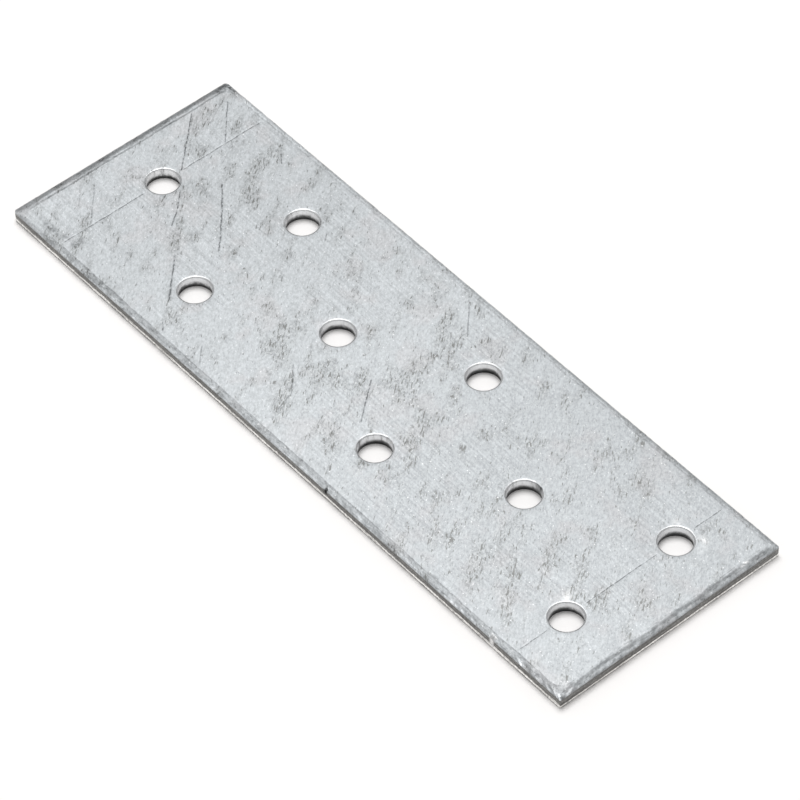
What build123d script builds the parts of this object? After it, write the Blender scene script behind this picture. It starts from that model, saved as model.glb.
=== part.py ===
from build123d import *
from math import sqrt
import os

# A flat mending plate: one piece of galvanised sheet, sheared to size and punched with nine
# nail holes.  Millimetres.  It lies flat with its underside on z = 0, its length along X and
# its origin at the middle of the underside.  The side that was cut first faces up.

# Blank
LENGTH = 120.0
WIDTH = 40.0
THICKNESS = 2.0

# Hole pattern: six rows along the length, one hole and two holes by turns
HOLE_R = 2.5
ROW_PITCH = 20.0
ROW_COUNT = 6
PAIR_SPACING = 20.0

# Sheared edge.  From the top down its section is rolled over, then cut clean, then torn.
ROLL_WIDTH = 1.1         # how far in from the edge the top face starts to bend down
ROLL_DROP = 0.3          # how far it has bent down at the edge
ROLL_CORNER_R = 1.7      # corner radius of the flat that is left inside the roll
ROLL_STEPS = 4           # stretches of the loft that shapes the roll
TEAR_HEIGHT = 0.75       # height of the torn zone above the underside
TEAR_LEAN = 0.1          # how far the torn zone leans in under the edge

# Radius of each corner of the blank, by its side in X and in Y
CORNER_R = {
    (-1, -1): 0.7,
    (-1, 1): 0.6,
    (1, 1): 0.3,
    (1, -1): 0.2,
}

# Punched hole: the same three zones, tighter round the punch
HOLE_ROLL_WIDTH = 0.45
HOLE_ROLL_DROP = 0.2
HOLE_TEAR_FLARE = 0.06

# Two marks in the front long edge: a nick, and a gouge where the tear ran up to the roll
NICK_X = 11.6
NICK_WIDTH = 0.35
NICK_DEPTH = 0.18
NICK_FOOT = 0.85
GOUGE_X = 46.8
GOUGE_WIDTH = 0.45
GOUGE_DEPTH = 0.12
GOUGE_RUN = 0.6          # how far the gouge's top stands to the right of its foot

FRONT_Y = -WIDTH / 2
ROLL_FOOT = THICKNESS - ROLL_DROP
ROLL_R = (ROLL_WIDTH**2 + ROLL_DROP**2) / (2 * ROLL_DROP)
HOLE_ROLL_R = (HOLE_ROLL_WIDTH**2 + HOLE_ROLL_DROP**2) / (2 * HOLE_ROLL_DROP)


def roll_height(inset):
    """Height of the rolled top at this distance in from the edge: an arc that meets the flat."""
    return THICKNESS - ROLL_R + sqrt(ROLL_R**2 - (ROLL_WIDTH - inset) ** 2)


def blank_outline(height, inset):
    """Draw the blank's outline at this height, drawn in by inset, its corners rounder inwards."""
    with BuildSketch(Plane.XY.offset(height)) as outline:
        Rectangle(LENGTH - 2 * inset, WIDTH - 2 * inset)
        for (side_x, side_y), radius in CORNER_R.items():
            place = (side_x * LENGTH / 2, side_y * WIDTH / 2, height)
            corner = outline.vertices().sort_by_distance(place)[0]
            fillet(corner, radius + (ROLL_CORNER_R - radius) * inset / ROLL_WIDTH)
    return outline.sketch


# The punched slug with the metal drawn down round it: what each nail hole takes away
with BuildPart() as slug:
    with BuildSketch(Plane.XZ) as slug_section:
        with BuildLine():
            roll_foot = THICKNESS - HOLE_ROLL_DROP
            flank = Polyline(
                (HOLE_R, roll_foot),
                (HOLE_R, TEAR_HEIGHT),
                (HOLE_R + HOLE_TEAR_FLARE, 0),
                (0, 0),
                (0, THICKNESS),
                (HOLE_R + HOLE_ROLL_WIDTH, THICKNESS),
            )
            RadiusArc(flank @ 1, flank @ 0, -HOLE_ROLL_R)
        make_face()
    revolve(axis=Axis.Z)

# The nick: a wedge that comes to a point inside the edge
with BuildPart() as nick:
    with BuildSketch(Plane.XY.offset(NICK_FOOT)) as nick_plan:
        with BuildLine():
            Polyline(
                (NICK_X - NICK_WIDTH / 2, FRONT_Y),
                (NICK_X + NICK_WIDTH / 2, FRONT_Y),
                (NICK_X, FRONT_Y + NICK_DEPTH),
                close=True,
            )
        make_face()
    extrude(amount=ROLL_FOOT - NICK_FOOT)

# The gouge: a slanting groove up the clean-cut band
with BuildPart() as gouge:
    with BuildSketch(Plane.XZ.offset(-FRONT_Y)) as gouge_face:
        with BuildLine():
            Polyline(
                (GOUGE_X, TEAR_HEIGHT),
                (GOUGE_X + GOUGE_WIDTH, TEAR_HEIGHT),
                (GOUGE_X + GOUGE_WIDTH + GOUGE_RUN, ROLL_FOOT),
                (GOUGE_X + GOUGE_RUN, ROLL_FOOT),
                close=True,
            )
        make_face()
    extrude(amount=-GOUGE_DEPTH)

with BuildPart() as mending_plate:
    # Torn foot, leaning in under the edge
    loft([blank_outline(0, TEAR_LEAN), blank_outline(TEAR_HEIGHT, 0)])
    # Clean-cut band and the core inside it
    extrude(blank_outline(TEAR_HEIGHT, 0), amount=ROLL_FOOT - TEAR_HEIGHT)
    # Rolled edge up to the flat top
    insets = [ROLL_WIDTH * step / ROLL_STEPS for step in range(ROLL_STEPS + 1)]
    loft([blank_outline(roll_height(inset), inset) for inset in insets])
    # Nail holes
    for row in range(ROW_COUNT):
        row_x = (row - (ROW_COUNT - 1) / 2) * ROW_PITCH
        holes_in_row = 1 + row % 2
        with Locations((row_x, 0)):
            with GridLocations(0, PAIR_SPACING, 1, holes_in_row):
                add(slug.part, mode=Mode.SUBTRACT)
    # Edge marks
    add(nick.part, mode=Mode.SUBTRACT)
    add(gouge.part, mode=Mode.SUBTRACT)

mending_plate.part.label = "mending_plate"

os.makedirs("parts", exist_ok=True)
export_step(mending_plate.part, "parts/mending_plate.step")

STEEL_G_PER_MM3 = 0.00785
box = mending_plate.part.bounding_box()
print("size", box.size, "low", box.min, "solids", len(mending_plate.solids()))
print("faces", len(mending_plate.faces()), "mass g", mending_plate.part.volume * STEEL_G_PER_MM3)
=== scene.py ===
"""A punched and sheared mending plate of galvanised sheet, laid flat on a pale studio floor.

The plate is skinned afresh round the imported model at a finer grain: the rolled edge, the clean cut
and the torn foot wander as they do in real shearing, and the flat face carries its tool lines and
scratches as shallow geometry.
"""

import math

import bpy
from bpy.props import FloatProperty, FloatVectorProperty, PointerProperty
from mathutils import Matrix, Vector, noise
from mathutils.geometry import delaunay_2d_cdt


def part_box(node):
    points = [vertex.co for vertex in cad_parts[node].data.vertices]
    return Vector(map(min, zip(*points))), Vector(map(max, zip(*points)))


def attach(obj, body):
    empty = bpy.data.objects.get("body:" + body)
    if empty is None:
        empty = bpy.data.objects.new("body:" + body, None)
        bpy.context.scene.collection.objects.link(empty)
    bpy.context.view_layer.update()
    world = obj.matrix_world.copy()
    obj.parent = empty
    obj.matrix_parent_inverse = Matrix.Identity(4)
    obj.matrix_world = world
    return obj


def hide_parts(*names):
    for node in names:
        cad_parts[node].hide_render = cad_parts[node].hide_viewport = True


bl_info = {
    "name": "Mending Plate",
    "version": (1, 0, 0),
    "blender": (4, 5, 0),
    "location": "View3D > Sidebar > Mending Plate",
    "description": "A galvanised mending plate with nine nail holes, and a plain studio to show it in",
    "category": "Object",
}

NODE = "mending_plate"

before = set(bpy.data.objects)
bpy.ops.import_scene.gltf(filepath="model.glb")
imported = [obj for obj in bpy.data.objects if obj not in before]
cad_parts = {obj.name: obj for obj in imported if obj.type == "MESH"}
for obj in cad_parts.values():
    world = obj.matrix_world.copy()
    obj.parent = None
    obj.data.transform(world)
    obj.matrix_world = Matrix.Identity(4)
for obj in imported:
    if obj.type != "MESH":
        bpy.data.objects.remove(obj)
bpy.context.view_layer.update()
PLATE_LOW, PLATE_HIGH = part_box(NODE)
PLATE_SIZE = PLATE_HIGH - PLATE_LOW
MM = 0.001


# ------------------------ settings


def length(name, default, description, **limits):
    """A setting in metres."""
    return FloatProperty(name=name, default=default, description=description, unit="LENGTH", **limits)


def colour(name, default, description):
    """A colour setting."""
    return FloatVectorProperty(name=name, default=default, description=description, subtype="COLOR")


class PlateSizes(bpy.types.PropertyGroup):
    """Sizes of the plate's holes and of its sheared edge."""

    hole_radius: length(
        "Nail hole radius", 2.5 * MM, "Radius of the clean-cut part of each nail hole", min=1 * MM)
    row_pitch: length("Row pitch", PLATE_SIZE.x / 6, "Distance between rows of holes along the plate")
    pair_spacing: length(
        "Pair spacing", PLATE_SIZE.y / 2, "Distance between the two holes of a pair, across the plate")
    roll_width: length(
        "Edge roll width", 1.1 * MM, "How far in from the edge the top face starts to bend down")
    roll_drop: length("Edge roll drop", 0.3 * MM, "How far the top face has bent down at the edge")
    roll_corner: length(
        "Flat corner radius", 1.7 * MM, "Corner radius of the flat that is left inside the roll")
    tear_side: length(
        "Tear height, long edges", 0.68 * MM, "Height of the torn zone on the long edges")
    tear_end: length("Tear height, ends", 0.54 * MM, "Height of the torn zone on the short ends")
    tear_lean: length("Tear lean", 0.01 * MM, "How far the torn zone leans in under the edge")
    hole_roll_width: length("Hole roll width", 0.28 * MM, "Width of the rolled rim round each nail hole")
    hole_roll_drop: length("Hole roll drop", 0.14 * MM, "Depth of the rolled rim round each nail hole")
    hole_flare: length("Hole flare", 0.06 * MM, "How much wider each nail hole is at the underside")


class Studio(bpy.types.PropertyGroup):
    """Where the camera stands and how the plate is lit."""

    azimuth: FloatProperty(
        name="Azimuth", description="Camera's turn round the plate, from straight in front of its long edge",
        default=math.radians(51.208), subtype="ANGLE")
    elevation: FloatProperty(
        name="Elevation", description="Camera's height above the floor, as an angle",
        default=math.radians(48.658), subtype="ANGLE")
    roll: FloatProperty(
        name="Roll", description="Camera's turn about its own line of sight",
        default=math.radians(-2.07), subtype="ANGLE")
    distance: length("Distance", 0.67135, "From the camera to the point on the floor that it looks at")
    aim: FloatVectorProperty(
        name="Aim", description="Point on the floor that the camera looks at",
        default=(4.14 * MM, -0.52 * MM, 0.0), subtype="XYZ")
    lens: FloatProperty(
        name="Lens", description="Focal length in millimetres", default=214.65)
    floor_color: colour("Floor", (0.97, 0.955, 0.945), "Colour of the floor")
    sky_level: FloatProperty(
        name="Sky level", description="Brightness of the soft light from all round", default=0.50)
    key_power: FloatProperty(
        name="Key power", description="Power of the large soft lamp in watts", default=9.7)


# ------------------------ small helpers

SEED_STEPS = (17.3, 5.1, 9.7)


def wander(point, per_mm, seed):
    """Smooth noise from -1 to 1 at a point in metres, with about per_mm bumps to the millimetre."""
    return noise.noise(Vector(point) * (per_mm / MM) + Vector([seed * step for step in SEED_STEPS]))


def uneven(point, waves):
    """A factor of about 1 that varies over the plate by the waves given."""
    factor = 1.0
    for share, per_mm, seed in waves:
        factor += share * wander(point, per_mm, seed)
    return factor


def put_in_scene(name, data):
    """A new object in the scene."""
    thing = bpy.data.objects.new(name, data)
    bpy.context.scene.collection.objects.link(thing)
    return thing


def lerp(a, b, t):
    """From a at t = 0 to b at t = 1."""
    return a + (b - a) * t


# ------------------------ the plate's skin

ZINC, SHEARED, PUNCHED = range(3)
SIDES = ("front", "near_end", "back", "far_end")

# Rings of points down the edge and down the holes, as shares: of the roll's width left outside, then of
# the way down the clean cut and down the torn zone
ROLL_STEPS = (1.0, 0.94, 0.85, 0.7, 0.55, 0.4, 0.25, 0.12, 0.04, 0.0)
CUT_STEPS = (0.08, 0.5, 0.92, 1.0)
TEAR_STEPS = (0.12, 0.35, 0.62, 0.82, 0.92, 1.0)
HOLE_ROLL_STEPS = (1.0, 0.85, 0.7, 0.5, 0.3, 0.15, 0.04, 0.0)
HOLE_CUT_STEPS = (0.1, 0.5, 0.9, 1.0)
HOLE_TEAR_STEPS = (0.15, 0.4, 0.7, 1.0)

# How uneven each part is. Each wave is a share, bumps to the millimetre and a seed
ROLL_WIDTH_WAVES = ((0.10, 0.25, 1), (0.06, 1.1, 2))
ROLL_DROP_WAVES = ((0.16, 0.8, 3), (0.12, 2.2, 4))
TEAR_WAVES = ((0.07, 0.5, 5), (0.06, 2.0, 6))
CUT_GRAIN_WAVES = ((1.0, 1.5, 7),)
TORN_GRAIN_WAVES = ((1.0, 3.0, 8),)
HOLE_ROLL_WAVES = ((0.12, 0.3, 11), (0.06, 1.5, 12))
HOLE_TEAR_WAVES = ((0.10, 0.7, 13), (0.06, 2.5, 14))
HOLE_GRAIN_WAVE = (2.5, 15)
SCRATCH_WIDTH_WAVES = ((0.5, 1.3, 21),)
SCRATCH_SWAY_WAVE = (0.6, 22)

# Roughness of the clean cut, as a share of the roll's width, and of the torn zones
CUT_GRAIN = 0.004
TORN_GRAIN = 0.01 * MM
HOLE_GRAIN = 0.03 * MM

# The very foot of the edge is rounded under: its height, its depth, and where it starts in the torn zone
FOOT_HEIGHT = 0.1 * MM
FOOT_INSET = 0.10 * MM
FOOT_SHARE = 0.82

# How much wider the roll is on the ends than on the long edges
NEAR_END_REACH = 1.25
FAR_END_REACH = 1.5

# Corners of the blank, anticlockwise: side in X, side in Y, radius of the corner, and of the flat face
# inside the roll as a share of its full radius
CORNERS = (
    (1, -1, 0.2 * MM, 1.0),
    (1, 1, 0.3 * MM, 0.3),
    (-1, 1, 0.6 * MM, 1.0),
    (-1, -1, 0.7 * MM, 0.7),
)

# How finely the skin is divided
CORNER_STEPS = 8
EDGE_STEP = 0.3 * MM
HOLE_STEPS = 96
FACE_STEP = 0.6 * MM
UNDER_STEP = 2.0 * MM
BITE_STEPS = 5

# A flat face's inner points keep off its rim by this share of their step, and off its corners by more
# such margins. Points closer than the distance, in millimetres, become one
RIM_MARGIN = 0.6
TIP_MARGINS = 3
MERGE_DISTANCE = 1e-5

# The flat round a hole starts after this share of its roll or flare. Scratches keep off by a further gap
HOLE_MARGIN = 0.9
SCRATCH_GAP = 0.3 * MM

# Scratches on the upper face, in millimetres: half width, darkness, then the points they pass
SCRATCHES = (
    (0.18, 1.0, (-58.3, 12.1), (-49.9, 3.4), (-47.0, 0.9), (-44.4, -1.7), (-41.8, -5.0)),
    (0.16, 0.8, (-56.7, 17.6), (-49.9, 11.6)),
    (0.24, 1.0, (-44.0, 6.3), (-41.6, 4.4), (-39.4, 2.5), (-34.8, -1.5), (-33.5, -2.9)),
    (0.22, 1.0, (-37.6, -7.6), (-33.9, -11.1), (-30.6, -14.4)),
    (0.15, 0.55, (-56.5, -7.6), (-50.1, -13.3)),
    (0.12, 0.35, (-58.0, -9.0), (-53.9, -12.7)),
    (0.12, 0.35, (-57.8, 18.1), (-54.5, 12.3)),
    (0.18, 0.8, (-44.5, 17.8), (-40.9, 15.1)),
    (0.18, 0.9, (-0.3, -1.9), (2.4, -5.2), (5.2, -8.6)),
    (0.15, 0.6, (-9.8, -8.3), (-5.6, -12.2), (-4.2, -16.3)),
    (0.18, 0.9, (-28.4, -17.2), (-26.6, -18.6)),
    (0.14, 0.6, (-2.6, 18.2), (3.0, 13.1)),
    (0.14, 0.6, (-21.2, -15.8), (-18.2, -18.6)),
    (0.14, 0.6, (-26.4, 11.7), (-24.8, 9.8)),
)
SCRATCH_STEP = 0.5 * MM
SCRATCH_DEPTH = 0.008 * MM
SCRATCH_SWAY = 0.1 * MM
SHORTEST_SCRATCH = 4

# Fine straight marks across the plate at the first and last rows of holes, in millimetres: place along
# X, then where they start and end in Y
TOOL_LINES = ((-49.9, -18.6, 18.8), (50.0, -18.7, 18.7))
TOOL_LINE_HALF_WIDTH = 0.12
TOOL_LINE_DARKNESS = 0.9

# Where dark specks gather on the upper face, in millimetres: place in X and Y, reach, strength
SPECK_CLUSTERS = (
    (-43, 13.5, 2.5, 0.8), (-41, 9.5, 2.5, 0.8), (-41.5, -3.5, 3.0, 0.7), (-2, 15, 3.0, 0.7),
    (3, 10, 2.0, 0.9), (4.4, 2.8, 2.5, 0.9), (2.4, -0.8, 2.0, 0.8), (-0.6, -3, 2.0, 0.8),
    (-14, -6, 2.5, 0.8), (-15, -8, 2.0, 0.7), (-6.2, -7.4, 2.5, 0.8), (-4.8, -14, 2.5, 0.8),
    (12, 1, 2.0, 0.7), (12, -4.4, 2.5, 0.7), (4, -13.6, 2.5, 0.8), (24, -10, 2.5, 0.8),
    (25.8, -3.8, 2.5, 0.8), (24.7, -18.3, 1.5, 0.7), (32.4, 14.6, 2.5, 0.7), (36.5, 16, 2.5, 0.7),
    (41.5, 10.5, 2.5, 0.8), (34.4, -6.3, 2.0, 0.7), (33.6, -10.5, 2.0, 0.8), (36, -14, 2.5, 0.8),
    (40.8, -3.8, 2.0, 0.7), (40.2, -11.9, 2.0, 0.8), (44, -16.3, 2.0, 0.8), (47, -5.5, 1.5, 0.9),
    (51, -5, 1.5, 0.9), (54, 0, 1.5, 0.9), (56, 4.2, 1.5, 0.8), (-57, -17.2, 1.0, 0.9),
    (-54, -18.0, 1.2, 1.0), (-51, -18.0, 1.2, 0.9), (-48, -17.6, 1.2, 0.8), (-33, 12, 2.5, 0.4),
    (-52, 9.0, 2.0, 0.5), (-56, 13.0, 1.5, 0.5),
)
# The clusters are drawn out along this line of the face. On the underside the specks lie evenly
SPECK_LINE = (0.57, -0.82)
SPECK_LENGTH = 1.9
SPECK_WIDTH = 0.75
UNDER_SPECKS = 0.3

# A dark nick and a bright gouge in the front edge, in millimetres: place along X, half width, depth,
# lowest point, and how far in the top face is pressed down
NICK = (11.2, 0.32, 0.26, 0.85, 0.0)
GOUGE = (46.1, 0.55, 0.14, 0.30, 0.7)
# How far in a bite fades out at the least, in millimetres, and how far it presses the face down, as a
# share of its depth
BITE_REACH = 0.35
BITE_SINK = 0.7
# How steeply the nick darkens and the gouge brightens from its ends to its middle
NICK_DARKNESS = 2.0
GOUGE_BRIGHTNESS = 1.6

# Small bright (above 0) and dark (below 0) touches on the rim and beside the holes. The bright ones are
# painted glints and highlights, all but the one on the gouge; the dark ones are partly dark marks and partly
# painted shade that tones down the rim's painted light towards the near corner. In millimetres: place in X
# and Y, reach along X, reach along Y, strength
MARKS_GLINTS_AND_SHADE = (
    (46.0, -19.7, 0.4, 0.2, 0.5), (11.2, -19.85, 0.2, 0.14, -1.0),
    (59.0, 14.6, 0.22, 0.32, 1.0), (59.2, 13.8, 0.14, 0.2, 0.8), (59.7, 3.7, 0.15, 0.25, 0.7),
    (59.6, 17.6, 0.3, 0.4, -0.6), (59.9, -2.4, 0.2, 0.4, -0.6), (-59.2, 18.8, 0.6, 1.5, -1.0),
    (-58.0, 19.5, 1.4, 0.35, -0.9), (-56.0, -19.8, 0.9, 0.07, 0.8), (-54.4, -19.75, 0.6, 0.06, 0.7),
    (-59.6, -19.0, 0.4, 0.5, -0.3), (-59.5, 5.0, 0.3, 1.4, -0.4), (-59.4, -4.0, 0.3, 1.6, -0.4),
    (-59.5, 12.0, 0.3, 1.2, -0.4), (-58.5, -14.6, 0.15, 0.8, -0.8), (-58.6, -8.0, 0.2, 1.5, -0.7),
    (-58.6, 8.0, 0.2, 1.5, -0.7), (59.0, -12.0, 0.2, 1.6, -0.7), (59.0, 9.0, 0.2, 1.8, -0.7),
    (59.0, 2.0, 0.2, 1.0, -0.7), (33.0, -18.9, 1.2, 0.2, -0.5), (21.0, -19.0, 1.4, 0.2, -0.5),
    (5.0, -19.1, 1.3, 0.2, -0.5), (-20.0, -19.0, 1.5, 0.2, -0.5), (-38.0, -19.1, 1.4, 0.2, -0.5),
    (8.3, 11.9, 0.45, 0.6, 0.5), (47.4, -7.7, 0.6, 0.7, 0.55), (47.6, 12.4, 0.5, 0.6, 0.5),
    (52.4, 12.9, 0.6, 0.5, 0.7), (53.4, 11.4, 0.3, 0.6, 0.5), (59.6, -19.6, 0.5, 0.45, -1.0),
    (54.5, -19.5, 4.0, 0.4, -0.5), (-53.5, -18.0, 1.6, 0.55, -0.8), (-48.5, -17.2, 0.5, 0.9, -0.8),
    (-50.6, -17.4, 0.8, 0.5, -0.6),
)
# Touches lie above this share of the plate's thickness, and stop at this many times their reach
TOUCH_FLOOR = 0.6
TOUCH_LIMIT = 3

# Dark marks on the walls of the nail holes, in millimetres: place in X and Y, reach, strength. They stop
# at this many times their reach
HOLE_MARKS = (
    (30.5, 2.45, 0.9, 0.9), (-11.9, -1.6, 0.5, 0.8), (7.7, -10.9, 0.4, 0.5), (-32.4, 9.2, 0.4, 0.5),
)
MARK_LIMIT = 2.5

# The corner of the rim where its painted light and shade, with its blots and grit, fade out, in millimetres:
# how far it runs along the front edge and up the far end, where those rims begin, how softly it ends, and how
# far they fade out
RIM_FADE_X, RIM_FADE_Y = -52, -16
FRONT_RIM_Y, FAR_RIM_X = -18, -58
RIM_FADE_SOFTNESS = 1.5
RIM_FADE_SHARE = 0.75

# Where two sides of the rim meet, their looks blend over about this distance
SIDE_BLEND = 0.2 * MM
SHARP_ANGLE = math.radians(25)


class Skin:
    """The plate's surface while it is being put together."""

    def __init__(self):
        self.points = []
        self.section = []
        self.wear = []
        self.marks_glints_and_shade = []
        self.faces = []
        self.finish = []

    def add(self, point, section, wear=0.0):
        """section runs 0 on the flat, 1 at the foot of the roll, 2 at the tear line, 3 at the underside."""
        self.points.append(Vector(point))
        self.section.append(section)
        self.wear.append(wear)
        self.marks_glints_and_shade.append(0.0)
        return len(self.points) - 1

    def ring(self, points, section):
        """Add a row of points that runs right round."""
        return [self.add(point, section) for point in points]

    def band(self, upper, lower, finish, outward=True):
        """Join two rings of points that both run anticlockwise."""
        for i in range(len(upper)):
            j = (i + 1) % len(upper)
            quad = (upper[i], lower[i], lower[j], upper[j])
            self.faces.append(quad if outward else quad[::-1])
            self.finish.append(finish)

    def step_down(self, upper, points, section, finish, outward=True):
        """Add a ring below the upper one, join the two, and return the new one."""
        lower = self.ring(points, section)
        self.band(upper, lower, finish, outward)
        return lower

    def sheet(self, rings, holes, inner, edges, height, step, finish, up=True):
        """Fill a flat face between rings of points already there, with a grid of new points inside."""
        ids = [i for ring in rings for i in ring] + inner
        chain = [(a, b) for ring in rings for a, b in zip(ring, ring[1:] + ring[:1])] + edges
        margin = RIM_MARGIN * step
        rim = outline_box(rings[0], self.points)
        for x, y in grid(rim, step):
            clear_of_holes = all(
                math.hypot(x - hx, y - hy) > reach + margin for hx, hy, reach in holes)
            if clear_of_holes and inside_rim(x, y, rim, margin):
                ids.append(self.add((x, y, height), 0.0))
        place = {vertex: k for k, vertex in enumerate(ids)}
        flat = [self.points[i].xy / MM for i in ids]
        spots, _, triangles, origin, _, _ = delaunay_2d_cdt(
            flat, [(place[a], place[b]) for a, b in chain], [], 1, MERGE_DISTANCE)
        number = []
        for spot, source in zip(spots, origin):
            if source:
                number.append(ids[source[0]])
            else:
                number.append(self.add((spot.x * MM, spot.y * MM, height), 0.0))
        on_ring = {i: (r, k) for r, ring in enumerate(rings[1:]) for k, i in enumerate(ring)}
        for triangle in triangles:
            corners = tuple(number[k] for k in triangle)
            if not in_hole(corners, on_ring):
                self.faces.append(corners if up else corners[::-1])
                self.finish.append(finish)


def in_hole(corners, on_ring):
    """Does a triangle span the inside of a hole? Its corners then go round one ring in order."""
    places = [on_ring.get(i) for i in corners]
    if None in places or len({ring for ring, _ in places}) > 1:
        return False
    first, second, third = (k for _, k in places)
    return (second - first) % HOLE_STEPS < (third - first) % HOLE_STEPS


def outline_box(ring, points):
    """Least and greatest X, then least and greatest Y, of a ring."""
    xs = [points[i].x for i in ring]
    ys = [points[i].y for i in ring]
    return min(xs), max(xs), min(ys), max(ys)


def inside_rim(x, y, rim, margin):
    """Is a place inside the rim by the margin, and not out in the tip of a corner?"""
    dx = min(x - rim[0], rim[1] - x)
    dy = min(y - rim[2], rim[3] - y)
    return dx > margin and dy > margin and dx + dy > TIP_MARGINS * margin


def grid(rim, step):
    """A staggered grid over a rectangle, its points about step apart all ways."""
    row = 0
    y = rim[2] + step / 2
    while y < rim[3]:
        x = rim[0] + step * (0.5 if row % 2 else 1.0)
        while x < rim[1]:
            yield x, y
            x += step
        y += step * math.sqrt(0.75)
        row += 1


def outline(inset, growth, sizes):
    """Points round the blank, anticlockwise, drawn in by inset. Growth 1 gives the flat's rounder corners."""
    half = PLATE_SIZE / 2
    arcs = []
    for turn, (side_x, side_y, radius, share) in enumerate(CORNERS):
        radius = lerp(radius, sizes.roll_corner * share, growth)
        end_inset = inset * (FAR_END_REACH if side_x < 0 else NEAR_END_REACH)
        centre = Vector((side_x * (half.x - end_inset - radius), side_y * (half.y - inset - radius), 0))
        arc = []
        for step in range(CORNER_STEPS + 1):
            angle = math.radians(90) * (turn - 1 + step / CORNER_STEPS)
            arc.append(centre + radius * Vector((math.cos(angle), math.sin(angle), 0)))
        arcs.append(arc)
    points = []
    for k, arc in enumerate(arcs):
        points += arc
        following = arcs[k + 1 - len(arcs)][0]
        side = PLATE_SIZE.y if k % 2 == 0 else PLATE_SIZE.x
        steps = round(side / EDGE_STEP)
        stops = {i / steps for i in range(1, steps)}
        if arc is arcs[-1]:  # the front edge: more points round the nick and the gouge
            for x, half_width, *_ in (NICK, GOUGE):
                middle = 0.5 + x * MM / PLATE_SIZE.x
                reach = half_width * MM / PLATE_SIZE.x
                past = BITE_STEPS + 1
                stops |= {middle + reach * i / BITE_STEPS for i in range(-past, past + 1)}
        points += [arc[-1].lerp(following, stop) for stop in sorted(stops)]
    return points


def bitten(point, bite):
    """How deep a nick or gouge cuts at this place along the front edge, 0 to 1."""
    x, half_width, *_ = bite
    if point.y > 0:
        return 0.0
    return max(0.0, 1 - abs(point.x / MM - x) / half_width)


def rolled_height(run, width, drop):
    """How far an arc that starts level has dropped after a run, when it drops by drop over width."""
    radius = (width**2 + drop**2) / (2 * drop)
    return radius - math.sqrt(radius**2 - run**2)


def on_end(point):
    """Is a point of the outline on one of the short ends?"""
    half = PLATE_SIZE / 2
    return half.x - abs(point.x) < half.y - abs(point.y)


def cut_bites(skin, first):
    """Press the nick and the gouge into the points of the edge, from the first one on."""
    for bite in (NICK, GOUGE):
        _, _, depth, low, run = bite
        reach = max(run, BITE_REACH)
        for i in range(first, len(skin.points)):
            point = skin.points[i]
            share = bitten(point, bite)
            inward = (point.y - PLATE_LOW.y) / MM
            if share == 0 or point.z < low * MM or inward > reach:
                continue
            cut = depth * MM * share * (1 - inward / reach)
            point.y += cut
            if inward < run:
                point.z -= BITE_SINK * cut
            if bite is NICK:
                skin.wear[i] = min(1.0, NICK_DARKNESS * share)
            else:
                skin.marks_glints_and_shade[i] = min(1.0, GOUGE_BRIGHTNESS * share)


def skin_edge(skin, sizes):
    """The rolled, cut and torn edge right round. Returns the top and bottom rings."""
    first = len(skin.points)
    outer = outline(0, 0, sizes)
    inner = outline(sizes.roll_width, 1, sizes)
    rings = []
    for fraction in ROLL_STEPS:
        points = []
        fall = rolled_height(sizes.roll_width * (1 - fraction), sizes.roll_width, sizes.roll_drop)
        for edge, flat in zip(outer, inner):
            point = edge.lerp(flat, fraction * uneven(edge, ROLL_WIDTH_WAVES))
            point.z = PLATE_HIGH.z - uneven(edge, ROLL_DROP_WAVES) * fall
            points.append(point)
        rings.append(skin.ring(points, 1 - fraction))
    for upper, lower in zip(rings, rings[1:]):
        skin.band(upper, lower, ZINC)
    roll_foot = [skin.points[i].z for i in lower]
    heights = [sizes.tear_end if on_end(edge) else sizes.tear_side for edge in outer]
    tear = [height * uneven(edge, TEAR_WAVES) for height, edge in zip(heights, outer)]
    for fraction in CUT_STEPS:
        points = []
        for k, (edge, flat) in enumerate(zip(outer, inner)):
            at = (edge.x, edge.y, fraction * MM)
            point = edge.lerp(flat, CUT_GRAIN * uneven(at, CUT_GRAIN_WAVES))
            point.z = lerp(roll_foot[k], tear[k], fraction)
            points.append(point)
        lower = skin.step_down(lower, points, 1 + fraction, SHEARED)
    for fraction in TEAR_STEPS:
        points = []
        down = min(fraction / FOOT_SHARE, 1.0)
        under = max(0.0, fraction - FOOT_SHARE) / (1 - FOOT_SHARE)
        for k, (edge, flat) in enumerate(zip(outer, inner)):
            at = (edge.x, edge.y, fraction * MM)
            grain = TORN_GRAIN * uneven(at, TORN_GRAIN_WAVES) if fraction < 1 else 0.0
            inset = sizes.tear_lean * fraction + grain + FOOT_INSET * under
            point = edge.lerp(flat, inset / sizes.roll_width)
            point.z = lerp(tear[k], FOOT_HEIGHT, down) * (1 - under)
            points.append(point)
        lower = skin.step_down(lower, points, 2 + fraction, SHEARED)
    cut_bites(skin, first)
    return rings[0], lower


def hole_centres(sizes):
    """Six rows along the plate, with one hole and two holes by turns."""
    for row in range(6):
        x = (row - 2.5) * sizes.row_pitch
        if row % 2 == 0:
            yield x, 0.0
        else:
            yield x, -sizes.pair_spacing / 2
            yield x, sizes.pair_spacing / 2


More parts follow.
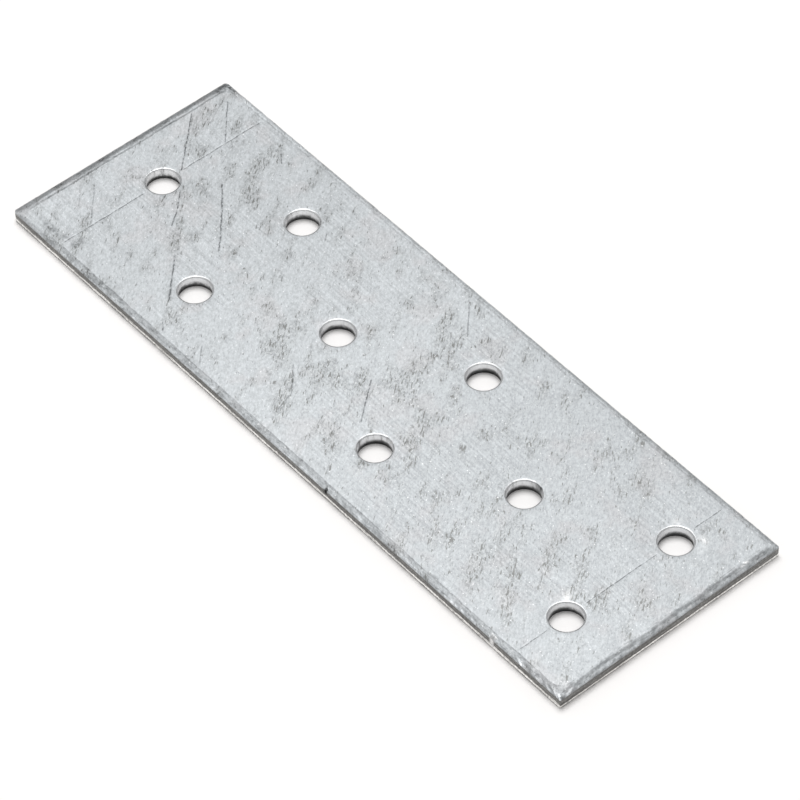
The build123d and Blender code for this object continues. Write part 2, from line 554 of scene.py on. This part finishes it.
def skin_hole(skin, sizes, hx, hy):
    """One punched hole, from its rolled rim down through the wall. Returns the top and bottom rings."""
    angles = [math.tau * k / HOLE_STEPS for k in range(HOLE_STEPS)]
    directions = [Vector((math.cos(a), math.sin(a), 0)) for a in angles]
    centre = Vector((hx, hy, 0))
    wall = [centre + direction * sizes.hole_radius for direction in directions]
    rings = []
    for fraction in HOLE_ROLL_STEPS:
        points = []
        run = sizes.hole_roll_width * (1 - fraction)
        for direction, at in zip(directions, wall):
            out = sizes.hole_roll_width * fraction * uneven(at, HOLE_ROLL_WAVES)
            point = centre + direction * (sizes.hole_radius + out)
            point.z = PLATE_HIGH.z - rolled_height(run, sizes.hole_roll_width, sizes.hole_roll_drop)
            points.append(point)
        rings.append(skin.ring(points, 1 - fraction))
    for upper, lower in zip(rings, rings[1:]):
        skin.band(upper, lower, PUNCHED, outward=False)
    roll_foot = PLATE_HIGH.z - sizes.hole_roll_drop
    tear = [sizes.tear_side * uneven(at, HOLE_TEAR_WAVES) for at in wall]
    for fraction in HOLE_CUT_STEPS:
        points = [Vector((at.x, at.y, lerp(roll_foot, height, fraction))) for at, height in zip(wall, tear)]
        lower = skin.step_down(lower, points, 1 + fraction, PUNCHED, outward=False)
    for fraction in HOLE_TEAR_STEPS:
        points = []
        for direction, at, height in zip(directions, wall, tear):
            wave = wander((at.x, at.y, fraction * MM), *HOLE_GRAIN_WAVE)
            grain = abs(HOLE_GRAIN * wave) if fraction < 1 else 0.0
            point = centre + direction * (sizes.hole_radius + sizes.hole_flare * fraction + grain)
            point.z = height * (1 - fraction)
            points.append(point)
        lower = skin.step_down(lower, points, 2 + fraction, PUNCHED, outward=False)
    return rings[0], lower


def scratch_groove(skin, path, half_width, wear):
    """A shallow V groove along a path of flat points. Returns its points and the edges to keep."""
    last = len(path) - 1
    left, middle, right = [], [], []
    for k, spot in enumerate(path):
        if k in (0, last):
            middle.append(skin.add((spot.x, spot.y, PLATE_HIGH.z), 0.0))
            continue
        ahead = path[k + 1] - path[k - 1]
        across = Vector((-ahead.y, ahead.x)).normalized()
        at = (spot.x, spot.y, 0)
        centre = spot + across * (SCRATCH_SWAY * wander(at, *SCRATCH_SWAY_WAVE))
        middle.append(skin.add((centre.x, centre.y, PLATE_HIGH.z - SCRATCH_DEPTH), 0.0, wear))
        for side, chain in ((1, left), (-1, right)):
            border = centre + across * (side * half_width * uneven(at, SCRATCH_WIDTH_WAVES))
            chain.append(skin.add((border.x, border.y, PLATE_HIGH.z), 0.0))
    edges = []
    for chain in ([middle[0]] + left + [middle[-1]], middle, [middle[0]] + right + [middle[-1]]):
        edges += list(zip(chain, chain[1:]))
    return middle + left + right, edges


def evenly(points, step):
    """Points along a polyline, about step apart."""
    path = [points[0]]
    for a, b in zip(points, points[1:]):
        count = max(1, round((b - a).length / step))
        path += [a.lerp(b, i / count) for i in range(1, count + 1)]
    return path


def clear_runs(path, holes):
    """The stretches of a path that stay off the holes, apart from very short ones."""
    runs = [[]]
    for spot in path:
        if all(math.hypot(spot.x - x, spot.y - y) > reach + SCRATCH_GAP for x, y, reach in holes):
            runs[-1].append(spot)
        else:
            runs.append([])
    return [run for run in runs if len(run) >= SHORTEST_SCRATCH]


def skin_scratches(skin, holes):
    """Every scratch and tool line of the upper face. Returns their points and the edges to keep."""
    lines = list(SCRATCHES)
    lines += [(TOOL_LINE_HALF_WIDTH, TOOL_LINE_DARKNESS, (x, low), (x, high)) for x, low, high in TOOL_LINES]
    ids, edges = [], []
    for half_width, darkness, *points in lines:
        path = evenly([Vector(p) * MM for p in points], SCRATCH_STEP)
        for run in clear_runs(path, holes):
            more_ids, more_edges = scratch_groove(skin, run, half_width * MM, darkness)
            ids += more_ids
            edges += more_edges
    return ids, edges


def make_skin(sizes):
    """The whole closed surface of the plate."""
    skin = Skin()
    edge_top, edge_under = skin_edge(skin, sizes)
    top_rings, under_rings = [edge_top], [edge_under]
    top_holes, under_holes = [], []
    for hx, hy in hole_centres(sizes):
        rim, foot = skin_hole(skin, sizes, hx, hy)
        top_rings.append(rim)
        under_rings.append(foot)
        top_holes.append((hx, hy, sizes.hole_radius + HOLE_MARGIN * sizes.hole_roll_width))
        under_holes.append((hx, hy, sizes.hole_radius + HOLE_MARGIN * sizes.hole_flare))
    ids, edges = skin_scratches(skin, top_holes)
    skin.sheet(top_rings, top_holes, ids, edges, PLATE_HIGH.z, FACE_STEP, ZINC)
    skin.sheet(under_rings, under_holes, [], [], PLATE_LOW.z, UNDER_STEP, ZINC, up=False)
    return skin


# ------------------------ finishes


class Finish(bpy.types.PropertyGroup):
    """Colours of the zinc and of the cut steel."""

    zinc: colour("Zinc", (0.399, 0.417, 0.429), "Light body colour of the zinc coat")
    zinc_warm: colour("Warm zinc", (0.400, 0.402, 0.410), "Faint warm patches in the coat")
    zinc_speck: colour("Specks", (0.17, 0.172, 0.165), "Dark specks and short dashes in the coat")
    scratch: colour("Scratches", (0.06, 0.063, 0.066), "Scratches and tool lines, where the coat is cut")
    cut: colour("Clean cut", (1.0, 0.99, 0.96), "Tint of the sheared steel below the roll")
    torn: colour("Torn edge", (1.0, 0.985, 0.95), "Tint of the torn steel along the foot of the edge")
    hole_wall: colour("Hole wall", (0.97, 0.985, 1.0), "Tint of the punched steel in the holes")


class Nodes:
    """A material's nodes, added one at a time. Each call gives back the socket that carries its result."""

    def __init__(self, name):
        self.material = bpy.data.materials.new(name)
        self.material.use_nodes = True
        self.tree = self.material.node_tree
        self.tree.nodes.clear()
        coordinates = self.add("ShaderNodeTexCoord")
        self.place = self.add(
            "ShaderNodeVectorMath", {0: coordinates.outputs["Object"], "Scale": 1 / MM},
            operation="SCALE").outputs[0]

    def add(self, kind, inputs=None, **settings):
        """Add a node, with a value or another node's socket for each input. Gives back the node."""
        node = self.tree.nodes.new(kind)
        for key, value in settings.items():
            setattr(node, key, value)
        for socket, value in (inputs or {}).items():
            if isinstance(value, bpy.types.NodeSocket):
                self.tree.links.new(value, node.inputs[socket])
            else:
                node.inputs[socket].default_value = value
        return node

    def attribute(self, name):
        return self.add("ShaderNodeAttribute", attribute_name=name).outputs["Fac"]

    def ends(self):
        """1 on the two short ends and 0 on the long edges."""
        return self.math("ADD", self.attribute("near_end"), self.attribute("far_end"))

    def math(self, operation, a, b=0.0, clamp=False):
        return self.add("ShaderNodeMath", {0: a, 1: b}, operation=operation, use_clamp=clamp).outputs[0]

    def spread(self, value, low, high, to_low=0.0, to_high=1.0, smooth=True):
        """Stretch a value from low..high to to_low..to_high."""
        return self.add(
            "ShaderNodeMapRange",
            {"Value": value, "From Min": low, "From Max": high, "To Min": to_low, "To Max": to_high},
            interpolation_type="SMOOTHSTEP" if smooth else "LINEAR").outputs["Result"]

    def swing(self, value, amount):
        """Turn noise into a shift of up to amount either way."""
        return self.spread(value, 0.3, 0.7, -amount, amount)

    def scaled(self, vector, factors):
        return self.add("ShaderNodeVectorMath", {0: vector, 1: factors}, operation="MULTIPLY").outputs[0]

    def stretched(self, degrees, along, across, shift=0.0):
        """Coordinates in millimetres, turned in plan and scaled along and across that line."""
        turned = self.add(
            "ShaderNodeMapping",
            {"Vector": self.place, "Rotation": (0, 0, math.radians(-degrees)), "Location": (shift, shift, 0)},
            vector_type="POINT").outputs[0]
        return self.scaled(turned, (along, across, across))

    def upright(self, around, down):
        """Coordinates in millimetres for streaks that run down a wall."""
        return self.scaled(self.place, (around, around, down))

    def along_edge(self, along, across, scale):
        """Noise that is drawn out along the edge: along X on the long edges, along Y on the ends."""
        long_edge, short_end = (
            self.noise(self.stretched(turn, along, across), scale, 3.0, 0.65) for turn in (0, 90))
        inputs = {0: self.ends(), 2: long_edge, 3: short_end}
        return self.add("ShaderNodeMix", inputs, data_type="FLOAT").outputs[0]

    def shades(self, value, stops, reach=1.0):
        """A grey level for each value up to reach, from pairs of value and level."""
        if reach != 1.0:
            value = self.math("DIVIDE", value, reach)
        node = self.add("ShaderNodeValToRGB", {0: value})
        while len(node.color_ramp.elements) < len(stops):
            node.color_ramp.elements.new(0.5)
        for element, (place, level) in zip(node.color_ramp.elements, stops):
            element.position = place / reach
            element.color = grey(level)
        return node.outputs[0]

    def by_side(self, value, tables, reach=1.0):
        """A grey level from the table of each side, blended where two sides meet."""
        color = self.shades(value, tables["front"], reach)
        for side, stops in tables.items():
            if side != "front":
                weight = self.ends() if side == "ends" else self.attribute(side)
                color = self.mix(weight, color, self.shades(value, stops, reach))
        return color

    def noise(self, vector, scale, detail, roughness=0.5):
        inputs = {"Vector": vector, "Scale": scale, "Detail": detail, "Roughness": roughness}
        return self.add("ShaderNodeTexNoise", inputs).outputs["Fac"]

    def mix(self, amount, a, b, blend="MIX"):
        """From colour a at amount 0 to colour b at amount 1."""
        inputs = {0: amount, 6: a, 7: b}
        return self.add("ShaderNodeMix", inputs, data_type="RGBA", blend_type=blend).outputs[2]

    def tint(self, color, level):
        """Multiply a colour by a level or by another colour."""
        return self.mix(1.0, color, level, "MULTIPLY")

    def bump(self, height, distance, strength):
        inputs = {"Height": height, "Distance": distance, "Strength": strength}
        return self.add("ShaderNodeBump", inputs).outputs["Normal"]

    def metal(self, color, roughness, metallic, normal):
        """Finish the material with a metal surface."""
        inputs = {"Base Color": color, "Roughness": roughness, "Metallic": metallic, "Normal": normal}
        return self.surface("ShaderNodeBsdfPrincipled", inputs)

    def surface(self, kind, inputs):
        """Finish the material with one shader. Gives back the material."""
        self.add("ShaderNodeOutputMaterial", {"Surface": self.add(kind, inputs).outputs[0]})
        return self.material


def rgba(color, level=1.0):
    """A colour for a socket, made darker or lighter by the level."""
    return (color[0] * level, color[1] * level, color[2] * level, 1.0)


def grey(level):
    return (level, level, level, 1.0)


# Painted light and shade on the rolled rim of each side, from the flat face out to the edge: levels above 1
# are painted highlights and levels below 1 painted shade, set side by side for the lamp, with some rubbing in
# them
ROLL_PAINTED_LIGHT = {
    "front": ((0.0, 1.0), (0.05, 0.66), (0.16, 0.60), (0.32, 0.63), (0.47, 0.75), (0.62, 0.98), (0.76, 1.34),
              (0.9, 1.8), (1.0, 1.55)),
    "near_end": ((0.0, 0.97), (0.04, 0.90), (0.12, 0.90), (0.2, 0.84), (0.3, 0.64), (0.4, 0.51), (0.5, 0.55),
                 (0.6, 0.72), (0.72, 1.03), (0.85, 1.18), (1.0, 1.08)),
    "back": ((0.0, 1.0), (0.1, 1.04), (0.2, 1.2), (0.3, 1.6), (0.42, 1.85), (0.55, 1.88), (0.68, 1.58),
             (0.8, 1.42), (1.0, 1.8)),
    "far_end": ((0.0, 0.90), (0.05, 0.72), (0.12, 0.70), (0.2, 1.05), (0.28, 1.4), (0.36, 1.4), (0.45, 1.08),
                (0.6, 0.88), (0.75, 0.84), (0.88, 0.84), (1.0, 1.15)),
}

# Level down the wall of the long edges and of the ends, by section: clean cut, then torn, then the foot. The
# dark clean cut and the pale torn zone are partly the steel's own tone and partly painted reflection, set
# apart for the long edges and the ends; the near-black foot is a painted contact shadow
WALL_TONE_AND_PAINTED_LIGHT = {
    "front": ((1.0, 0.21), (1.1, 0.16), (1.35, 0.15), (1.7, 0.16), (1.93, 0.19), (2.08, 0.98),
              (2.68, 1.0), (2.78, 0.06)),
    "ends": ((1.0, 0.19), (1.12, 0.14), (1.45, 0.18), (1.62, 0.19), (1.85, 0.14), (1.98, 0.15),
             (2.12, 1.0), (2.7, 1.0), (2.8, 0.06)),
}

# Level down the wall of a nail hole, by section: rim, clean cut, then torn. The pale wall is partly painted
# reflection of the floor, and the dark torn foot partly painted shade at the bottom of the hole
HOLE_TONE_AND_PAINTED_LIGHT = (
    (0.0, 0.42), (0.4, 0.47), (0.7, 0.72), (0.95, 0.76), (1.2, 0.92), (1.55, 0.90), (1.72, 0.70),
    (1.86, 0.42), (2.0, 0.22), (2.3, 0.11), (2.8, 0.06),
)
UNDERSIDE = 3.0

# Painted light and shade along the plate, from its far end to its near end: the coat is made lighter at the
# far end and darker at the near end, against how the lamp falls on it
COAT_PAINTED_LIGHT_DRIFT = ((0.0, 1.19), (0.15, 1.09), (0.5, 1.055), (0.66, 0.95), (1.0, 0.885))

# Levels that fine noise gives to each finish
GRAIN_LEVELS = ((0.30, 0.84), (0.48, 1.0), (0.70, 1.10))
ROLLING_LEVELS = ((0.35, 0.91), (0.65, 1.06))
BLOT_LEVELS = ((0.30, 0.60), (0.43, 0.93), (0.58, 1.01), (0.72, 1.05))
RIM_GRIT_LEVELS = ((0.32, 0.78), (0.5, 1.0), (0.68, 1.08))
CUT_GRIT_LEVELS = ((0.3, 0.55), (0.5, 1.0), (0.7, 1.6))
CUT_STREAK_LEVELS = ((0.32, 0.6), (0.5, 1.0), (0.68, 1.5))
HOLE_STAIN_LEVELS = ((0.30, 0.55), (0.46, 0.95), (0.7, 1.1))


def zinc_coat(finish):
    """Galvanised face: pale and smooth, clouded with dark blotches and dashes that lie on a diagonal."""
    coat = Nodes("zinc_coat")
    patches = coat.noise(coat.place, 0.22, 2.0)
    color = coat.mix(coat.spread(patches, 0.50, 0.68, 0, 0.6), rgba(finish.zinc), rgba(finish.zinc_warm))
    # painted light and shade along the plate: lighter at the far end, darker at the near end
    lengthwise = coat.add("ShaderNodeSeparateXYZ", {0: coat.place}).outputs["X"]
    painted_drift = coat.spread(lengthwise, PLATE_LOW.x / MM, PLATE_HIGH.x / MM, smooth=False)
    color = coat.tint(color, coat.shades(painted_drift, COAT_PAINTED_LIGHT_DRIFT))
    # grey clouds, and grit that is coarse in the clouds and faint between them
    clouds = coat.noise(coat.stretched(-55, 0.20, 0.44), 1.0, 5.0, 0.58)
    gathered = coat.math("ADD", clouds, coat.math("MULTIPLY", coat.attribute("gather"), 0.16))
    cloud = coat.spread(gathered, 0.48, 0.70)
    color = coat.mix(coat.math("MULTIPLY", cloud, 0.23), color, rgba(finish.zinc_speck, 1.3))
    grit = coat.noise(coat.stretched(-50, 1.1, 1.7), 1.9, 4.0, 0.75)
    grit = coat.spread(grit, 0.32, 0.66, -0.62, 0.34, smooth=False)
    depth = coat.spread(cloud, 0.0, 1.0, 0.32, 0.64)
    color = coat.tint(color, coat.math("ADD", coat.math("MULTIPLY", grit, depth), 1.0))
    grain = coat.noise(coat.stretched(-45, 0.65, 1.5, 20), 2.8, 3.0, 0.7)
    color = coat.tint(color, coat.shades(grain, GRAIN_LEVELS))
    # short dark dashes, mostly in the clouds
    dashes = coat.noise(coat.stretched(-50, 0.5, 2.1, 40), 1.7, 2.0, 0.6)
    dashes = coat.math("ADD", dashes, coat.math("MULTIPLY", cloud, 0.12))
    color = coat.mix(coat.spread(dashes, 0.66, 0.73, 0, 0.8), color, rgba(finish.zinc_speck, 0.85))
    # faint rolling lines along the plate
    rolling = coat.noise(coat.stretched(0, 0.10, 3.0), 1.0, 1.0)
    rolled = coat.spread(coat.noise(coat.place, 0.07, 1.0), 0.45, 0.6)
    color = coat.tint(color, coat.mix(rolled, grey(1.0), coat.shades(rolling, ROLLING_LEVELS)))
    # tiny bright crystals
    crystals = coat.noise(coat.place, 3.4, 1.0)
    color = coat.mix(coat.spread(crystals, 0.70, 0.78, 0, 0.5), color, grey(0.95))
    # scratches and tool lines, broken up
    broken = coat.noise(coat.place, 1.6, 3.0, 0.6)
    cut = coat.math("MULTIPLY", coat.attribute("wear"), coat.spread(broken, 0.36, 0.56, 0.3, 1.0), clamp=True)
    color = coat.mix(cut, color, rgba(finish.scratch))
    # painted light and shade on the rolled rim, set side by side, with streaks, blots and grit along the edge
    section = coat.attribute("section")
    streaks = coat.spread(coat.along_edge(0.35, 2.2, 1.3), 0.3, 0.7, 0.85, 1.15)
    rim_wear_and_painted_light = coat.by_side(coat.math("MULTIPLY", section, streaks), ROLL_PAINTED_LIGHT)
    blots = coat.shades(coat.along_edge(0.7, 1.6, 1.1), BLOT_LEVELS)
    blots = coat.mix(coat.math("MULTIPLY", coat.attribute("back"), 0.6), blots, grey(1.0))
    rim_wear_and_painted_light = coat.tint(rim_wear_and_painted_light, blots)
    rim_wear_and_painted_light = coat.tint(rim_wear_and_painted_light, coat.shades(coat.along_edge(1.3, 2.6, 1.5), RIM_GRIT_LEVELS))
    # the rim's painted light and shade, with its blots and grit, fade out at the front corner of the far end
    rim_wear_and_painted_light = coat.mix(coat.attribute("rim_light_fade"), rim_wear_and_painted_light, grey(1.0))
    color = coat.mix(coat.spread(section, 0.0, 0.04), color, coat.tint(color, rim_wear_and_painted_light))
    # small touches: painted glints above 0, dark marks and painted shade below 0
    marks_glints_and_shade = coat.math("MULTIPLY", coat.attribute("marks_glints_and_shade"), coat.spread(broken, 0.36, 0.58, 0.2, 1.0))
    color = coat.mix(coat.math("MULTIPLY", marks_glints_and_shade, 0.95, clamp=True), color, grey(0.78))
    color = coat.mix(coat.math("MULTIPLY", marks_glints_and_shade, -0.95, clamp=True), color, rgba(finish.scratch))
    roughness = coat.spread(clouds, 0.3, 0.7, 0.48, 0.40)
    return coat.metal(color, roughness, 1.0, coat.bump(grain, 0.012 * MM, 0.6))


def sheared_steel(finish):
    """The edge below the roll: dark where it was cut clean and pale where it tore away, partly as painted
    reflection, with a painted shadow at its foot.
    """
    edge = Nodes("sheared_steel")
    section = edge.attribute("section")
    ragged = edge.math("ADD", section, edge.swing(edge.along_edge(1.1, 1.1, 1.2), 0.07))
    shade = edge.by_side(ragged, WALL_TONE_AND_PAINTED_LIGHT, UNDERSIDE)
    fine = edge.along_edge(2.6, 2.6, 1.0)
    shade = edge.tint(shade, edge.shades(fine, CUT_GRIT_LEVELS))
    shade = edge.tint(shade, edge.shades(edge.along_edge(0.12, 2.4, 1.6), CUT_STREAK_LEVELS))
    tone = edge.mix(edge.spread(section, 1.9, 2.1), rgba(finish.cut), rgba(finish.torn))
    color = edge.tint(shade, tone)
    # the gouge is bright, as are painted glints at the top of the edge, and the nick is dark
    color = edge.mix(edge.math("MULTIPLY", edge.attribute("marks_glints_and_shade"), 0.9, clamp=True), color, grey(0.85))
    color = edge.mix(edge.attribute("wear"), color, grey(0.01))
    roughness = edge.spread(section, 1.95, 2.1, 0.40, 0.8)
    metallic = edge.spread(section, 1.95, 2.1, 0.9, 0.2)
    return edge.metal(color, roughness, metallic, edge.bump(fine, 0.02 * MM, 0.4))


def punched_steel(finish):
    """A nail hole: grey rolled rim, pale grey wall, dark torn foot; the pale wall is partly painted
    reflection and the dark foot partly painted shade.
    """
    hole = Nodes("punched_steel")
    section = hole.attribute("section")
    streaks = hole.noise(hole.upright(1.5, 0.35), 1.0, 3.0, 0.65)
    # the line between the pale wall and the dark foot is ragged, and wanders up and down
    low = hole.spread(section, 1.4, 2.2)
    ragged = section
    for waves, amount in (
            (hole.noise(hole.upright(2.2, 1.2), 1.0, 3.0, 0.7), 0.12),
            (hole.noise(hole.place, 0.45, 2.0), 0.25)):
        ragged = hole.math("ADD", ragged, hole.math("MULTIPLY", hole.swing(waves, amount), low))
    shade = hole.shades(ragged, HOLE_TONE_AND_PAINTED_LIGHT, UNDERSIDE)
    # stains run down the wall of some holes
    stained = hole.spread(hole.noise(hole.place, 0.05, 1.0), 0.40, 0.62, 0.2, 1.0)
    stains = hole.mix(stained, grey(1.0), hole.shades(streaks, HOLE_STAIN_LEVELS))
    color = hole.tint(hole.tint(shade, stains), rgba(finish.hole_wall))
    # touches are below 0 here, so that this darkens the marks
    marks = hole.math(
        "MULTIPLY", hole.attribute("marks_glints_and_shade"), hole.spread(streaks, 0.35, 0.65, -1.0, -0.5), clamp=True)
    color = hole.mix(marks, color, rgba(finish.scratch))
    roughness = hole.spread(section, 0.9, 1.1, 0.34, 0.45)
    return hole.metal(color, roughness, 0.95, hole.bump(streaks, 0.02 * MM, 0.3))


# ------------------------ the plate


def gathering(point):
    """How thickly dark specks lie at a point of the face, 0 to 1: clusters drawn out on a diagonal."""
    line_x, line_y = SPECK_LINE
    share = 0.0
    for x, y, reach, strength in SPECK_CLUSTERS:
        dx, dy = point.x / MM - x, point.y / MM - y
        along = (line_x * dx + line_y * dy) / SPECK_LENGTH
        across = (line_x * dy - line_y * dx) / SPECK_WIDTH
        share += strength * math.exp(-(along**2 + across**2) / reach**2)
    return min(share, 1.0)


def marks_glints_and_shade_at(point):
    """How bright (above 0) or dark (below 0) marks, painted glints and painted shade make a point."""
    total = 0.0
    for x, y, reach, strength in HOLE_MARKS:
        apart = math.hypot(point.x / MM - x, point.y / MM - y) / reach
        if apart < MARK_LIMIT and point.z < PLATE_HIGH.z:
            total -= strength * math.exp(-apart**2)
    if point.z < TOUCH_FLOOR * PLATE_HIGH.z:
        return total
    for x, y, reach_x, reach_y, strength in MARKS_GLINTS_AND_SHADE:
        dx, dy = (point.x / MM - x) / reach_x, (point.y / MM - y) / reach_y
        if abs(dx) < TOUCH_LIMIT and abs(dy) < TOUCH_LIMIT:
            total += strength * math.exp(-(dx**2 + dy**2))
    return max(-1.0, min(1.0, total))


def rim_light_fade(point):
    """How far the rim's painted light and shade fade out at a point: they fade at the front corner of the far
    end.
    """
    x, y = point.x / MM, point.y / MM
    front = 1 / (1 + math.exp((x - RIM_FADE_X) / RIM_FADE_SOFTNESS)) if y < FRONT_RIM_Y else 0.0
    far_end = 1 / (1 + math.exp((y - RIM_FADE_Y) / RIM_FADE_SOFTNESS)) if x < FAR_RIM_X else 0.0
    return RIM_FADE_SHARE * max(front, far_end)


def side_shares(point):
    """How much a point belongs to each side of the rim, in the order of SIDES. They add up to 1."""
    gaps = (point.y - PLATE_LOW.y, PLATE_HIGH.x - point.x, PLATE_HIGH.y - point.y, point.x - PLATE_LOW.x)
    nearest = min(gaps)
    weights = [math.exp((nearest - gap) / SIDE_BLEND) for gap in gaps]
    return [weight / sum(weights) for weight in weights]


def plate_object(skin, finish):
    """Turn the finished skin into a mesh object with its finishes and its point values."""
    mesh = bpy.data.meshes.new("mending_plate_skin")
    mesh.from_pydata(skin.points, [], skin.faces)
    for material in (zinc_coat(finish), sheared_steel(finish), punched_steel(finish)):
        mesh.materials.append(material)
    mesh.polygons.foreach_set("material_index", skin.finish)
    mesh.polygons.foreach_set("use_smooth", [True] * len(mesh.polygons))
    values = {"section": skin.section, "wear": skin.wear}
    values["gather"] = [gathering(p) if p.z > PLATE_HIGH.z / 2 else UNDER_SPECKS for p in skin.points]
    values["marks_glints_and_shade"] = [own or marks_glints_and_shade_at(p) for own, p in zip(skin.marks_glints_and_shade, skin.points)]
    values["rim_light_fade"] = [rim_light_fade(p) for p in skin.points]
    values.update(zip(SIDES, zip(*(side_shares(p) for p in skin.points))))
    for name, column in values.items():
        mesh.attributes.new(name, "FLOAT", "POINT").data.foreach_set("value", column)
    mesh.set_sharp_from_angle(angle=SHARP_ANGLE)
    mesh.validate()
    mesh.update()
    return put_in_scene("mending_plate_finished", mesh)


class MendingPlateMake(bpy.types.Operator):
    """Skin the mending plate at fine grain and give it its zinc and steel finishes"""

    bl_idname = "mending_plate.make"
    bl_label = "Make the plate"

    def execute(self, context):
        skin = make_skin(context.scene.plate_sizes)
        plate = plate_object(skin, context.scene.plate_finish)
        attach(plate, "root")
        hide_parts(NODE)
        return {"FINISHED"}


# ------------------------ the studio


def towards(azimuth, elevation):
    """Unit vector to a place in the sky: azimuth 0 is in front of the long edge, 90 off the near end."""
    level = math.cos(elevation)
    return Vector((math.sin(azimuth) * level, -math.cos(azimuth) * level, math.sin(elevation)))


def lay_floor(studio):
    """A wide pale floor under the plate. It shows white to the camera and keeps the plate's shadow."""
    side = 4.0
    mesh = bpy.data.meshes.new("studio_floor")
    corners = [(x * side, y * side, PLATE_LOW.z) for x, y in ((-1, -1), (1, -1), (1, 1), (-1, 1))]
    mesh.from_pydata(corners, [], [(0, 1, 2, 3)])
    floor = put_in_scene("studio_floor", mesh)
    white = {"Color": rgba(studio.floor_color)}
    mesh.materials.append(Nodes("studio_white").surface("ShaderNodeBsdfDiffuse", white))


def light_sky(studio):
    """Soft even light from all round."""
    world = bpy.data.worlds.new("studio_sky")
    world.use_nodes = True
    background = world.node_tree.nodes["Background"]
    background.inputs["Color"].default_value = grey(1.0)
    background.inputs["Strength"].default_value = studio.sky_level
    bpy.context.scene.world = world


def hang_lamp(name, azimuth, elevation, distance, size, power):
    """A square soft lamp that faces the plate from this direction, in degrees and metres."""
    lamp = bpy.data.lights.new(name, "AREA")
    lamp.shape = "SQUARE"
    lamp.size = size
    lamp.energy = power
    holder = put_in_scene(name, lamp)
    back = towards(math.radians(azimuth), math.radians(elevation))
    holder.location = back * distance
    holder.rotation_euler = back.to_track_quat("Z", "Y").to_euler()


def set_camera(studio):
    """The camera, looking down at the plate from its near right."""
    back = towards(studio.azimuth, studio.elevation)
    level = Vector((0, 0, 1)).cross(back).normalized()
    upright = back.cross(level)
    right = level * math.cos(studio.roll) + upright * math.sin(studio.roll)
    up = back.cross(right)
    camera = bpy.data.cameras.new("studio_camera")
    camera.lens = studio.lens
    camera.sensor_width = 36.0
    holder = put_in_scene("studio_camera", camera)
    turned = Matrix((right, up, back)).transposed().to_4x4()
    holder.matrix_world = Matrix.Translation(Vector(studio.aim) + back * studio.distance) @ turned
    bpy.context.scene.camera = holder


class MendingPlateStudio(bpy.types.Operator):
    """Lay the pale floor, hang the soft lamp and set the camera"""

    bl_idname = "mending_plate.studio"
    bl_label = "Set up the studio"

    def execute(self, context):
        studio = context.scene.plate_studio
        lay_floor(studio)
        light_sky(studio)
        hang_lamp("key_lamp", azimuth=235, elevation=74, distance=1.2, size=0.65, power=studio.key_power)
        set_camera(studio)
        context.scene.view_settings.view_transform = "Standard"
        return {"FINISHED"}


class MendingPlatePanel(bpy.types.Panel):
    """Lists the plate's settings and its steps"""

    bl_idname = "VIEW3D_PT_mending_plate"
    bl_label = "Mending Plate"
    bl_space_type = "VIEW_3D"
    bl_region_type = "UI"
    bl_category = "Mending Plate"

    def draw(self, context):
        for name in SETTINGS:
            settings = getattr(context.scene, name)
            box = self.layout.box()
            for key in settings.__annotations__:
                box.prop(settings, key)
        self.layout.operator(MendingPlateMake.bl_idname)
        self.layout.operator(MendingPlateStudio.bl_idname)


SETTINGS = {"plate_sizes": PlateSizes, "plate_finish": Finish, "plate_studio": Studio}
CLASSES = (*SETTINGS.values(), MendingPlateMake, MendingPlateStudio, MendingPlatePanel)


def register():
    for cls in CLASSES:
        bpy.utils.register_class(cls)
    for name, cls in SETTINGS.items():
        setattr(bpy.types.Scene, name, PointerProperty(type=cls))


def unregister():
    for name in SETTINGS:
        delattr(bpy.types.Scene, name)
    for cls in reversed(CLASSES):
        bpy.utils.unregister_class(cls)


def main():
    register()
    bpy.ops.mending_plate.make()
    bpy.ops.mending_plate.studio()


if __name__ == "__main__":
    main()
